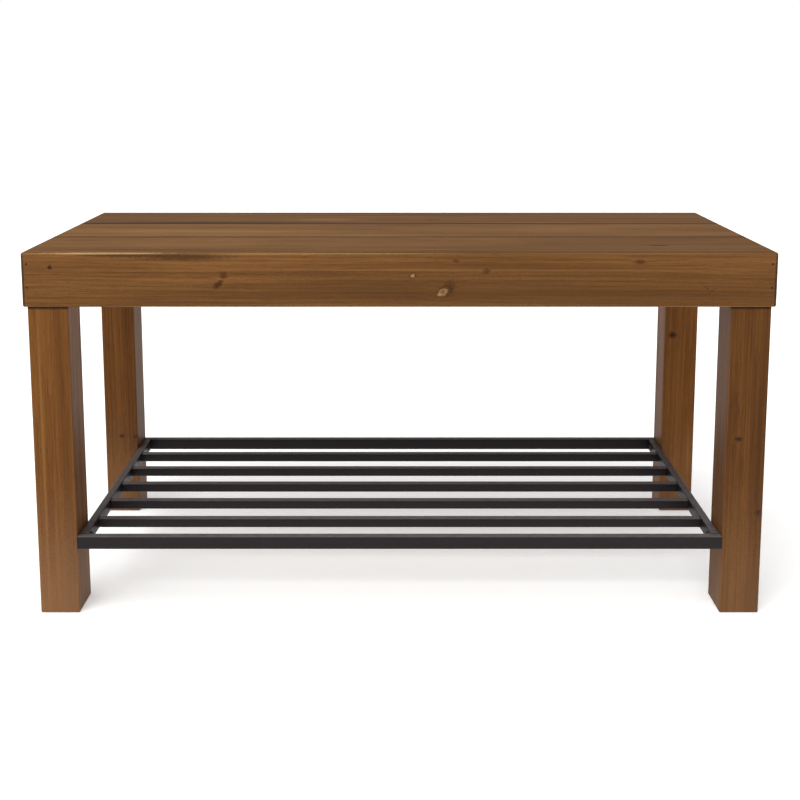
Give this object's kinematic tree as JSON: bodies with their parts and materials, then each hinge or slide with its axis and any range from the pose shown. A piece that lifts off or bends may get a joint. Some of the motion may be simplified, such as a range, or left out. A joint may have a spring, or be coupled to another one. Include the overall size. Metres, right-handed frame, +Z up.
{
  "type": "entryway bench",
  "caption": "Low wooden bench with a plank top, mitred edge boards, square corner legs and a slatted steel shoe shelf.",
  "frame": {"origin": "on the floor, under the middle of the top", "axes": "+X along the bench to its right, +Y from its front to its rear, +Z up"},
  "size_m": [0.914, 0.356, 0.46],
  "materials": {
    "top": "brown-stained pine, satin, with a worn edge",
    "edge": "brown-stained pine, satin",
    "leg": "brown-stained pine, satin",
    "raw_pine": "bare sawn pine",
    "black_steel": "black powder coat, satin",
    "zinc_steel": "bright zinc plate"
  },
  "bodies": {
    "root": {"top_plank_front": "top", "top_plank_middle": "top", "top_plank_rear": "top", "edge_board_front": "edge", "edge_board_rear": "edge", "edge_board_left": "edge", "edge_board_right": "edge", "pin_nail_front_left_upper": "zinc_steel", "pin_nail_front_left_lower": "zinc_steel", "pin_nail_front_right_upper": "zinc_steel", "pin_nail_front_right_lower": "zinc_steel", "pin_nail_rear_left_upper": "zinc_steel", "pin_nail_rear_left_lower": "zinc_steel", "pin_nail_rear_right_upper": "zinc_steel", "pin_nail_rear_right_lower": "zinc_steel", "batten_left": "raw_pine", "batten_middle": "raw_pine", "batten_right": "raw_pine", "batten_screw_left_front": "zinc_steel", "batten_screw_left_middle": "zinc_steel", "batten_screw_left_rear": "zinc_steel", "batten_screw_middle_front": "zinc_steel", "batten_screw_middle_middle": "zinc_steel", "batten_screw_middle_rear": "zinc_steel", "batten_screw_right_front": "zinc_steel", "batten_screw_right_middle": "zinc_steel", "batten_screw_right_rear": "zinc_steel", "leg_front_left": "leg", "leg_front_right": "leg", "leg_rear_left": "leg", "leg_rear_right": "leg", "corner_brace_front_left": "raw_pine", "corner_brace_front_right": "raw_pine", "corner_brace_rear_left": "raw_pine", "corner_brace_rear_right": "raw_pine", "leg_bolt_front_left": "zinc_steel", "leg_bolt_front_right": "zinc_steel", "leg_bolt_rear_left": "zinc_steel", "leg_bolt_rear_right": "zinc_steel", "flange_nut_front_left": "zinc_steel", "flange_nut_front_right": "zinc_steel", "flange_nut_rear_left": "zinc_steel", "flange_nut_rear_right": "zinc_steel", "shelf_rail_front": "black_steel", "shelf_rail_rear": "black_steel", "shelf_rail_left": "black_steel", "shelf_rail_right": "black_steel", "shelf_slat_1": "black_steel", "shelf_slat_2": "black_steel", "shelf_slat_3": "black_steel", "shelf_slat_4": "black_steel", "shelf_slat_5": "black_steel", "shelf_screw_front_left": "black_steel", "shelf_screw_front_right": "black_steel", "shelf_screw_rear_left": "black_steel", "shelf_screw_rear_right": "black_steel"}
  },
  "joints": []
}
